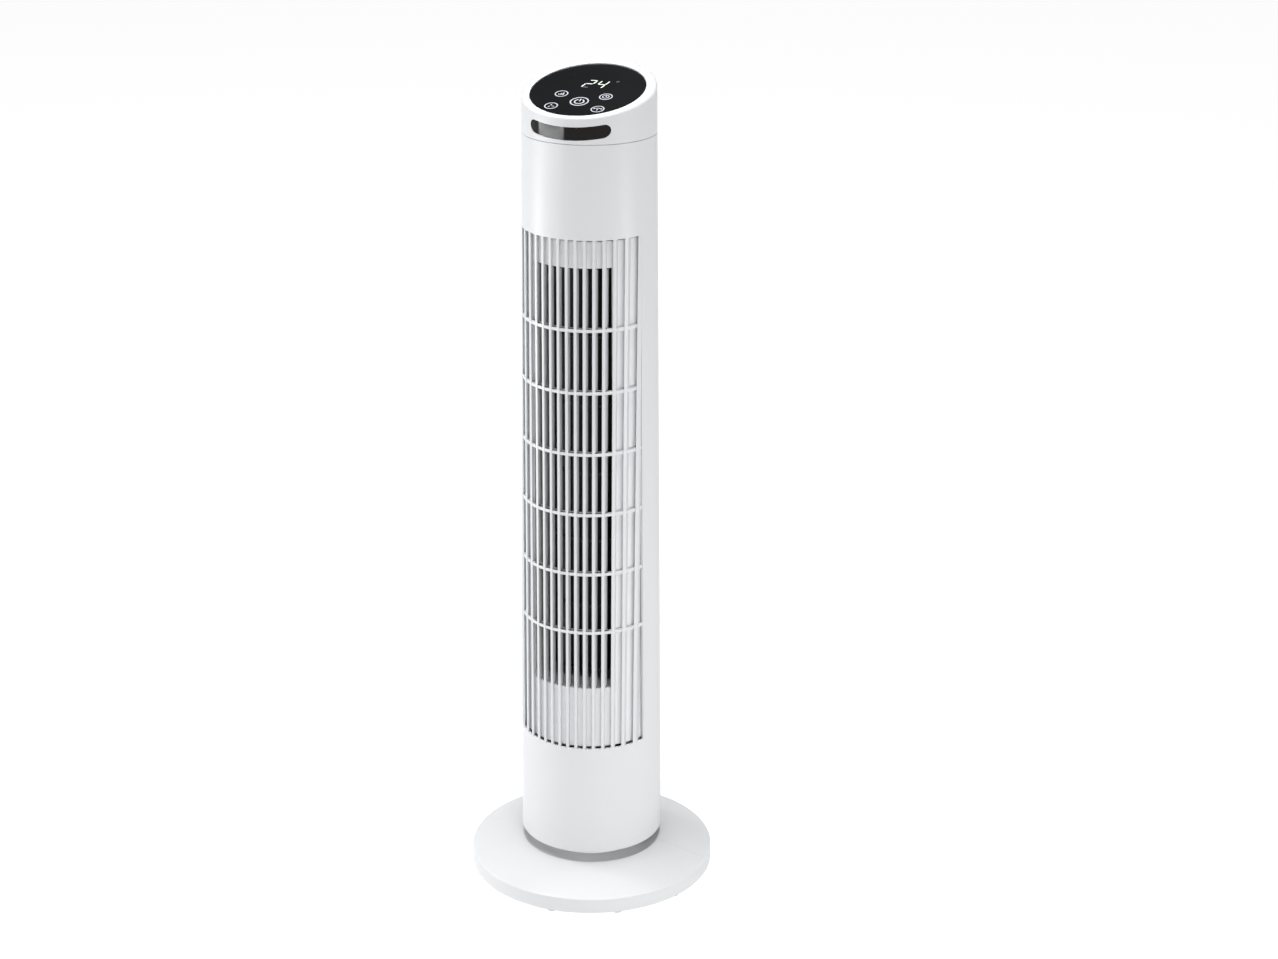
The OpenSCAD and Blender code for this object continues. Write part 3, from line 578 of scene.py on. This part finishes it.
def build_feet():
    """Soft round feet, pushed into their bosses."""
    plug_r, shoulder, top = 2.5 * MM, 2.98 * MM, 6 * MM
    outline = rounded(
        [(0, 0), (FOOT_R, 0), (FOOT_R, shoulder), (plug_r, shoulder), (plug_r, top), (0, top)],
        [0, 0.9 * MM, 0.2 * MM, 0, 0.5 * MM, 0],
        4,
    )
    feet = Shape()
    for i in range(FOOT_COUNT):
        feet.turn(outline, 40, on_circle(FOOT_RING_R, 2 * math.pi * i / FOOT_COUNT, 0))
    feet = feet.make("soft_feet")
    soften(feet, 0)
    place(feet, "base", PALE_RUBBER, "foot_rubber", "rubber_feet")


# ---- casings ----


def seam_limit(front):
    """How far back the front casing reaches, or how far forward the rear one does."""
    return SEAM_Y - GAP if front else SEAM_Y + GAP


def wall_point(front):
    """Where a casing's wall lies; the seam between the casings is a flat plane across the column."""
    limit = seam_limit(front)

    def point(angle, z, side):
        radius = column_r(z) - side * WALL
        spot = on_circle(radius, math.radians(angle), z)
        beyond = spot.y > limit if front else spot.y < limit
        if beyond:
            spot.y = limit
            spot.x = math.copysign(math.sqrt(radius**2 - limit**2), spot.x)
        return spot

    return point


def cone_y(x, z, inset):
    """The y of the column's front surface, or of one inset from it."""
    return -math.sqrt((column_r(z) - inset) ** 2 - x * x)


def slat_ring(x, z, depth):
    """One slat's outline at a height: its front and its rear both follow the column."""
    half = SLAT_W / 2
    face = 0.12 * MM
    left, right = x - half, x + half
    outline = [(left, cone_y(left, z, depth)), (left, cone_y(left, z, face)), (x, cone_y(x, z, face))]
    outline += [(right, cone_y(right, z, face)), (right, cone_y(right, z, depth)), (x, cone_y(x, z, depth))]
    points = rounded(outline, [0.15 * MM, 0.55 * MM, 0, 0.55 * MM, 0.15 * MM, 0], 3)
    return [Vector((p[0], p[1], z)) for p in points]


def slats(shape):
    """Upright slats, deeper in front of the air outlet than beside it."""
    clear, overlap = 1.7 * MM, 0.8 * MM
    inside = spread(OUTLET_Z[0] + clear, OUTLET_Z[1] - clear, 8)
    low, high = GRILLE_Z[0] - overlap, GRILLE_Z[1] + overlap
    for k in range(-7, 8):
        x = k * SLAT_PITCH
        if abs(k) > 4:
            shape.loft([slat_ring(x, z, THIN) for z in spread(low, high, 10)])
            continue
        rings = [slat_ring(x, z, THIN) for z in (low, inside[0])]
        rings += [slat_ring(x, z, DEEP_SLAT) for z in inside]
        rings += [slat_ring(x, z, THIN) for z in (inside[-1], high)]
        shape.loft(rings)


def cross_ribs(shape):
    """Ribs that follow the column between the slats, deeper in front of the air outlet."""
    for low in RIB_Z:
        for reach, depth, count in ((GRILLE_ANGLE + 0.5, THIN, 44), (OUTLET_ANGLE, DEEP_RIB, 24)):
            rings = []
            for a in spread(-reach, reach, count):
                front, rear = column_r(low) - 0.5 * MM, column_r(low) - depth
                outline = rounded(
                    [(rear, low), (front, low), (front, low + RIB_H), (rear, low + RIB_H)],
                    [0, 0.5 * MM, 0.5 * MM, 0],
                )
                rings.append([on_circle(r, math.radians(a), z) for r, z in outline])
            shape.loft(rings)


def inner_ledges(shape, front):
    """The ledges inside a casing that hold the duct's plates and the top deck."""
    limit, root, thick = seam_limit(front), 1.8 * MM, 2.2 * MM
    whole = [(-93, 93)] if front else [(86, 274)]
    beside_outlet = [(-93, -75), (75, 93)] if front else whole
    plates = ((190.6 * MM, 6.6 * MM, beside_outlet), (598.6 * MM, 6.6 * MM, beside_outlet))
    deck = (687.6 * MM, 4.8 * MM, whole)
    for z, depth, spans in (*plates, deck):
        outer, inner = column_r(z) - root, column_r(z) - depth
        profile = [(inner, z), (outer, z), (outer, z + thick), (inner, z + thick)]
        for start, end in spans:
            rings = []
            for a in spread(start, end, 24):
                ring = [on_circle(r, math.radians(a), h) for r, h in profile]
                for p in ring:
                    p.y = min(p.y, limit) if front else max(p.y, limit)
                rings.append(ring)
            shape.loft(rings)


def build_front_casing():
    """The front shell with the grille's opening, and the grille's bars as a piece of their own."""
    edge = 100
    columns = spread(-edge, -GRILLE_ANGLE, 12)[:-1] + spread(-GRILLE_ANGLE, GRILLE_ANGLE, 48)
    columns += spread(GRILLE_ANGLE, edge, 12)[1:]
    rows = spread(COLUMN_Z[0], GRILLE_Z[0], 3)[:-1] + spread(*GRILLE_Z, 8)
    rows += spread(GRILLE_Z[1], COLUMN_Z[1], 3)[1:]

    def kept(angle, z):
        return abs(angle) > GRILLE_ANGLE or not GRILLE_Z[0] < z < GRILLE_Z[1]

    shell = Shape().skin(columns, rows, wall_point(True), kept).make("front_shell")
    soften(shell, 0.45 * MM)
    bars = Shape()
    slats(bars)
    cross_ribs(bars)
    inner_ledges(bars, True)
    bars = bars.make("grille_bars")
    soften(bars, 0)
    place(shell, "tower", WHITE, "white_shell", "front_casing")
    place(bars, "tower", WHITE, "white_shell")


INTAKE_ROWS = 38
INTAKE_Z = 172 * MM
INTAKE_PITCH = 11 * MM
INTAKE_SLOT = 6.5 * MM
INTAKE_HALF = 17
INTAKE_ANGLES = [(180 + a - INTAKE_HALF, 180 + a + INTAKE_HALF) for a in (-38, 0, 38)]
SCREW_X = 47 * MM
SCREW_Z = [66 * MM, 130 * MM, 636 * MM, 680 * MM]
SCREW_PLACES = [(side * SCREW_X, z) for side in (-1, 1) for z in SCREW_Z]
SCREW_SEAT_Y = 12 * MM


def rod(x, z, start, end, r_out, r_in=0.0):
    """The rings of a rod along Y, or of a tube where it has an inner radius."""
    stations = [(r_out, start), (r_out, end)]
    if r_in:
        stations += [(r_in, end), (r_in, start)]
    turns = [2 * math.pi * k / 32 for k in range(32)]
    return [[Vector((x + r * math.cos(a), y, z + r * math.sin(a))) for a in turns] for r, y in stations]


def build_rear_casing():
    """The rear shell with its rows of intake slots and its screw holes, and the posts inside it."""
    edges = sorted({80, 280, *(a for pair in INTAKE_ANGLES for a in pair)})
    columns = [edges[0]]
    for start, end in zip(edges, edges[1:]):
        columns += spread(start, end, max(1, round((end - start) / 2.6)))[1:]
    rows = [COLUMN_Z[0], 100 * MM, 140 * MM]
    for i in range(INTAKE_ROWS):
        low = INTAKE_Z + i * INTAKE_PITCH
        rows += [low, low + INTAKE_SLOT]
    rows += [620 * MM, 660 * MM, COLUMN_Z[1]]

    def kept(angle, z):
        row, rest = divmod(z - INTAKE_Z, INTAKE_PITCH)
        slot = 0 <= row < INTAKE_ROWS and rest < INTAKE_SLOT
        return not (slot and any(a < angle < b for a, b in INTAKE_ANGLES))

    shell = Shape().skin(columns, rows, wall_point(False), kept).make("rear_shell")
    holes, posts = Shape(), Shape()
    post_r, head_r, screw_r = 4.6 * MM, 3.42 * MM, 1.6 * MM
    for x, z in SCREW_PLACES:
        holes.loft(rod(x, z, 20 * MM, 80 * MM, 3.4 * MM))
        wall_y = math.sqrt((column_r(z) - WALL) ** 2 - (abs(x) + 2 * MM) ** 2)
        posts.loft(rod(x, z, SCREW_SEAT_Y, wall_y, post_r, head_r), closed=True)
        posts.loft(rod(x, z, seam_limit(False), SCREW_SEAT_Y, post_r, screw_r), closed=True)
    boolean(shell, holes.make("screw_holes"), "DIFFERENCE")
    soften(shell, 0.4 * MM)
    inner_ledges(posts, False)
    posts = posts.make("rear_posts")
    soften(posts, 0)
    place(shell, "tower", WHITE, "white_shell", "rear_casing")
    place(posts, "tower", WHITE, "white_shell")


# ---- head ----


def rim_height(y, depth=0.0):
    """The height of the head's tilted plane, or of a plane that deep under it."""
    return RIM_Z + y * math.tan(TILT) - depth / math.cos(TILT)


def rim_at(r, angle, depth=0.0):
    """The same height at a radius and an angle from the front."""
    return rim_height(-r * math.cos(angle), depth)


def circle_reach(angle, radius, centre_y):
    """How far a circle that is off the axis lies from the axis at an angle from the front."""
    c = -centre_y * math.cos(angle)
    return c + math.sqrt(radius**2 - centre_y**2 + c * c)


def slot_point(across, up, inset):
    """A point of the receiver window's slot, which runs round the column along the tilted rim."""
    middle = WINDOW_Z + COLUMN_R[1] * math.tan(TILT)
    z = WINDOW_Z
    for _ in range(6):
        y = cone_y(across, z, inset)
        z = middle + y * math.tan(TILT) + up / math.cos(TILT)
    return Vector((across, y, z))


def slot_stations(half_w, half_h):
    """Places across the slot, each with half of the slot's height there; the ends are round."""
    reach = half_w - half_h
    end = [(reach + half_h * math.sin(a), half_h * math.cos(a)) for a in spread(0, math.radians(86), 12)]
    middle = [(u, half_h) for u in spread(-reach, reach, 28)[1:-1]]
    return [(-u, h) for u, h in reversed(end)] + middle + end


def build_head():
    """The head: a short ring that ends in a tilted, rounded rim, with the window's slot in its front."""
    low, ledge, wall = COLUMN_Z[1] + 0.3 * MM, 6 * MM, 2.4 * MM
    seat = GLASS_DROP + 2 * MM
    rim_corner, rim_steps = 1, 12
    radii = [0.35 * MM, 7.5 * MM, 0.45 * MM, 0, 0.3 * MM, 0.3 * MM, 1 * MM, 0.3 * MM]
    rings = []
    for a in spread(0, 2 * math.pi, 240)[:-1]:
        top_r = column_r(rim_at(column_r(RIM_Z), a))
        glass_r = circle_reach(a, GLASS_R + 0.2 * MM, GLASS_Y)
        ledge_r = circle_reach(a, 42.5 * MM, GLASS_Y)
        inner_r = column_r(rim_at(top_r, a, ledge)) - wall
        outline = [
            (column_r(low), low),
            (top_r, rim_at(top_r, a)),
            (glass_r, rim_at(glass_r, a)),
            (glass_r, rim_at(glass_r, a, seat)),
            (ledge_r, rim_at(ledge_r, a, seat)),
            (ledge_r, rim_at(ledge_r, a, ledge)),
            (inner_r, rim_at(inner_r, a, ledge)),
            (column_r(low) - wall, low),
        ]
        section = rounded(outline, radii, finest=(rim_corner, rim_steps))
        rings.append([on_circle(r, a, z) for r, z in section])
    head = Shape().loft(rings, closed=True).make("head_cover")
    front, rear = -4 * MM, 9 * MM
    cutter = Shape().loft([
        [slot_point(u, v, d) for v, d in ((-h, front), (h, front), (h, rear), (-h, rear))]
        for u, h in slot_stations(WINDOW_W, WINDOW_H)
    ])
    boolean(head, cutter.make("slot"), "DIFFERENCE")
    soften(head, 0.35 * MM, 3, 50)
    place(head, "tower", WHITE, "white_shell", "head_shell")


def build_window():
    """The receiver's dark window: a curved bar with round ends, a little below the head's surface."""
    front, rear, ease, gap = 0.5 * MM, 3.2 * MM, 0.06 * MM, 0.12 * MM
    rings = []
    for u, h in slot_stations(WINDOW_W - gap, WINDOW_H - gap):
        profile = [(-h, rear), (-h, front + ease), (ease - h, front)]
        profile += [(h - ease, front), (h, front + ease), (h, rear)]
        rings.append([slot_point(u, v, d) for v, d in profile])
    window = Shape().loft(rings).make("receiver_lens")
    soften(window, 0)
    place(window, "tower", WINDOW, "black_glass", "receiver_window")


def build_glass():
    """The round panel glass with an eased edge."""
    rings = []
    for r, depth in ((GLASS_R, 2.7 * MM), (GLASS_R, 1.1 * MM), (GLASS_R - 0.1 * MM, 0.93 * MM),
                     (GLASS_R - 0.3 * MM, 0.82 * MM), (GLASS_R - 0.5 * MM, 0.8 * MM)):
        ring = [on_circle(r, 2 * math.pi * k / 160, 0) for k in range(160)]
        rings.append([Vector((p.x, p.y + GLASS_Y, rim_height(p.y + GLASS_Y, depth))) for p in ring])
    glass = Shape().loft(rings).make("touch_glass")
    soften(glass, 0)
    place(glass, "tower", GLASS, "black_glass", "panel_glass")


def on_glass(x, s, lift):
    """A point on the glass: x to the right and s up the slope from its middle."""
    y = GLASS_Y + s * math.cos(TILT)
    return Vector((x, y, rim_height(y, GLASS_DROP))) + lift * Vector((0, -math.sin(TILT), math.cos(TILT)))


class Marks:
    """Flat printed or lit marks on the glass, all in millimetres."""

    SUNK, PROUD = -0.02 * MM, 0.03 * MM

    def __init__(self):
        self.shape = Shape()

    def patch(self, outline):
        """A filled outline."""
        heights = (self.SUNK, self.PROUD)
        self.shape.loft([[on_glass(x * MM, s * MM, h) for x, s in outline] for h in heights])

    def stroke(self, path, width, closed=False):
        """A line of even width along a path."""
        rings, n = [], len(path)
        for i, (x, s) in enumerate(path):
            ahead = path[(i + 1) % n] if closed or i + 1 < n else path[i]
            behind = path[i - 1] if closed or i else path[i]
            dx, ds = ahead[0] - behind[0], ahead[1] - behind[1]
            size = math.hypot(dx, ds)
            off_x, off_s = -ds / size * width / 2, dx / size * width / 2
            pair = ((x + off_x, s + off_s), (x - off_x, s - off_s))
            low = [on_glass(px * MM, ps * MM, self.SUNK) for px, ps in pair]
            high = [on_glass(px * MM, ps * MM, self.PROUD) for px, ps in reversed(pair)]
            rings.append(low + high)
        self.shape.loft(rings, closed)

    def arc(self, x, s, radius, start, end, width):
        """A round line between two angles in degrees, or a ring."""
        full = abs(end - start) >= 360
        angles = spread(math.radians(start), math.radians(end), 40)
        path = [(x + radius * math.cos(a), s + radius * math.sin(a)) for a in angles]
        self.stroke(path[:-1] if full else path, width, full)

    def finish(self, name, material):
        """Makes the marks one piece on the head."""
        piece = self.shape.make(name)
        soften(piece, 0)
        place(piece, "tower", material, "black_glass")


def fan_sign(marks, x, s):
    """Three curved blades; each is given by its width at shares of its length."""
    hub, length, sweep = 0.5, 2.6, 0.35
    widths = [(0.35, 0.7), (0.7, 1.15), (1.0, 0.75)]
    for k in range(3):
        a = math.radians(90 + 120 * k)
        blade = [(x + hub * math.cos(a), s + hub * math.sin(a))]
        for side, stations in ((-1, widths), (1, widths[::-1])):
            for t, width in stations:
                r = hub + length * t
                turn = a + sweep * t + side * width / r / 2
                blade.append((x + r * math.cos(turn), s + r * math.sin(turn)))
        marks.patch(blade)


def clock_sign(marks, x, s):
    """A dial with two hands."""
    marks.arc(x, s, 2.8, 0, 360, 0.8)
    marks.stroke([(x, s + 1.9), (x, s), (x + 1.4, s - 0.7)], 0.8)


def swing_sign(marks, x, s):
    """An arc with an arrow head at each end over a short post."""
    marks.arc(x, s - 2.2, 4.0, 45, 135, 0.85)
    for side in (-1, 1):
        tip_x, tip_s = x + side * 3.6, s + 0.2
        barb = ((-1.7, 0.1), (0.1, 1.9), (0.3, -0.5))
        marks.patch([(tip_x + side * across, tip_s + up) for across, up in barb])
    marks.stroke([(x, s - 2.8), (x, s + 0.4)], 0.85)


def level_sign(marks, x, s):
    """Three bars of rising height."""
    width, pitch = 1.1, 1.8
    for k, height in enumerate((1.6, 3.0, 4.4)):
        left, low = x - 2.4 + k * pitch, s - 2.2
        right, high = left + width, low + height
        marks.patch([(left, low), (right, low), (right, high), (left, high)])


def power_sign(marks, x, s):
    """An open ring with a bar in its gap."""
    marks.arc(x, s - 0.2, 4.0, 118, 422, 1.15)
    marks.stroke([(x, s + 0.4), (x, s + 4.9)], 1.15)


DIGIT_H, DIGIT_W, DIGIT_LEAN, BAR_W = 13.6, 6.6, 0.27, 1.2
DIGIT_LOW = 4.6
LEFT_DIGIT, RIGHT_DIGIT = -7.7, 3.3
SEGMENTS = {
    "a": ((0, 2), (1, 2)),
    "b": ((1, 2), (1, 1)),
    "c": ((1, 1), (1, 0)),
    "d": ((0, 0), (1, 0)),
    "e": ((0, 1), (0, 0)),
    "f": ((0, 2), (0, 1)),
    "g": ((0, 1), (1, 1)),
}
POWER_SPOT = (0.4, -22.9)
KEY_R, POWER_R = 5.4, 7.6


def segment(marks, x, s, key):
    """One bar of a seven-segment digit, with pointed ends, leaning to the right."""
    (c0, r0), (c1, r1) = SEGMENTS[key]
    p, q = Vector((c0 * DIGIT_W, r0 * DIGIT_H / 2)), Vector((c1 * DIGIT_W, r1 * DIGIT_H / 2))
    along = (q - p).normalized()
    across = Vector((-along.y, along.x)) * BAR_W / 2
    space = along * 0.25
    p, q = p + space, q - space
    tip = along * BAR_W / 2
    outline = [p, p + tip + across, q - tip + across, q, q - tip - across, p + tip - across]
    marks.patch([(x + v.x + v.y * DIGIT_LEAN, s + v.y) for v in outline])


def build_display():
    """The two digits, the dimmer marks beside them and the printed signs of the five keys."""
    lit_marks, dim_marks, printed = Marks(), Marks(), Marks()
    for x, keys in ((LEFT_DIGIT, "abge"), (RIGHT_DIGIT, "fgbc")):
        for key in keys:
            segment(lit_marks, x, DIGIT_LOW, key)
    segment(dim_marks, LEFT_DIGIT, DIGIT_LOW, "d")
    dim_marks.arc(21.0, 18.4, 1.2, 30, 330, 0.5)
    printed.arc(*POWER_SPOT, POWER_R, 0, 360, 1.15)
    power_sign(printed, *POWER_SPOT)
    signs = (level_sign, clock_sign, fan_sign, swing_sign)
    spots = ((-20.0, -10.8), (20.0, -10.8), (-20.8, -34.5), (20.8, -34.5))
    for sign, (x, s) in zip(signs, spots):
        printed.arc(x, s, KEY_R, 0, 360, 0.95)
        sign(printed, x, s)
    lit_marks.finish("display_digits", DIGIT)
    dim_marks.finish("display_dim_marks", DIM)
    printed.finish("key_signs", PRINT)


build_base()
build_feet()
build_front_casing()
build_rear_casing()
build_head()
build_window()
build_glass()
build_display()

# ---- stage, light and camera ----

AZIMUTH = math.radians(20.2)


def seen(x, y, z):
    """A point given as the viewer sees it, +X to the right and +Y away, in the fan's own frame."""
    return Matrix.Rotation(AZIMUTH, 3, "Z") @ Vector((x, y, z))


def build_floor():
    """A plain pale floor that shines by itself, so that the fan's shade on it stays faint."""
    half = 12.0
    corners = [(-half, -half, 0), (half, -half, 0), (half, half, 0), (-half, half, 0)]
    mesh = bpy.data.meshes.new("floor")
    mesh.from_pydata(corners, [], [(0, 1, 2, 3)])
    floor = bpy.data.objects.new("floor", mesh)
    scene.collection.objects.link(floor)
    n = Nodes("floor_white")
    paint(floor, n.set(
        Base_Color=n.blend(n.noise(3), (0.14, 0.14, 0.142), (0.16, 0.16, 0.162)),
        Roughness=0.7,
        Specular_IOR_Level=0.2,
        Emission_Color=(1.0, 1.0, 1.0, 1.0),
        Emission_Strength=0.95,
    ))


def area_light(name, place, size, power, colour, aim=(0, 0, 0.4)):
    """A soft rectangular lamp that the camera doesn't see."""
    data = bpy.data.lights.new(name, "AREA")
    data.shape = "RECTANGLE"
    data.size, data.size_y = size
    data.energy = power
    data.color = colour
    lamp = bpy.data.objects.new(name, data)
    lamp.location = place
    lamp.rotation_euler = (Vector(aim) - Vector(place)).to_track_quat("-Z", "Y").to_euler()
    lamp.visible_camera = False
    scene.collection.objects.link(lamp)


def build_lights():
    """A soft lamp overhead and one in front, a small key lamp on the left, and low fill lamps around."""
    area_light("overhead", seen(0, 0, 3.0), (1.4, 1.4), 97, (1.0, 1.0, 1.0), (0, 0, 0))
    area_light("key", seen(-2.5, 0.95, 2.3), (0.2, 0.2), 26, (1.0, 0.99, 0.97))
    area_light("front", seen(1.2, -4.6, 4.9), (1.6, 1.6), 58, (1.0, 1.0, 1.0), (0, 0, 0))
    area_light("left", seen(-1.3, 0.12, 0.2), (0.5, 0.38), 4.8, (0.98, 0.99, 1.0), (0, 0, 0.3))
    area_light("strip", seen(-1.5, -0.56, 0.407), (1.54, 0.06), 4.4, (0.98, 0.99, 1.0), (0, 0, 0.407))
    area_light("right", seen(1.1, -0.58, 0.2), (0.4, 0.4), 3.0, (0.97, 0.99, 1.0), (0, 0, 0.3))
    area_light("low_front", seen(0.2, -0.75, 0.10), (0.9, 0.18), 1.3, (1.0, 1.0, 1.0), (0, 0, 0.05))


def build_world():
    """A dim studio with a pale band along the horizon."""
    world = bpy.data.worlds.new("studio")
    scene.world = world
    world.use_nodes = True
    tree = world.node_tree
    place = tree.nodes.new("ShaderNodeTexCoord")
    split = tree.nodes.new("ShaderNodeSeparateXYZ")
    ramp = tree.nodes.new("ShaderNodeMapRange")
    ramp.inputs["From Min"].default_value = 0.10
    ramp.inputs["From Max"].default_value = 0.42
    ramp.inputs["To Min"].default_value = 0.12
    ramp.inputs["To Max"].default_value = 0.05
    tree.links.new(place.outputs["Generated"], split.inputs["Vector"])
    tree.links.new(split.outputs["Z"], ramp.inputs["Value"])
    sky = tree.nodes["Background"]
    sky.inputs["Color"].default_value = (0.97, 0.985, 1.0, 1)
    tree.links.new(ramp.outputs["Result"], sky.inputs["Strength"])


def build_camera():
    """A long lens in front of the viewer's side of the fan, looking down on it by about 20 degrees."""
    distance, height = 2.0354, 1.1295
    yaw, pitch, roll = 0.0214, 0.3516, 0.0040
    ahead = seen(math.sin(yaw) * math.cos(pitch), math.cos(yaw) * math.cos(pitch), -math.sin(pitch))
    right = seen(math.cos(yaw), -math.sin(yaw), 0)
    up = right.cross(ahead)
    right, up = (
        right * math.cos(roll) + up * math.sin(roll),
        up * math.cos(roll) - right * math.sin(roll),
    )
    data = bpy.data.cameras.new("camera")
    data.sensor_width = 36.0
    data.lens = 67.73
    data.clip_end = 60.0
    camera = bpy.data.objects.new("camera", data)
    axes = Matrix((right, up, -ahead)).transposed().to_4x4()
    camera.matrix_world = Matrix.Translation(seen(0, -distance, height)) @ axes
    scene.collection.objects.link(camera)
    scene.camera = camera


build_floor()
build_lights()
build_world()
build_camera()
scene.view_settings.view_transform = "Standard"
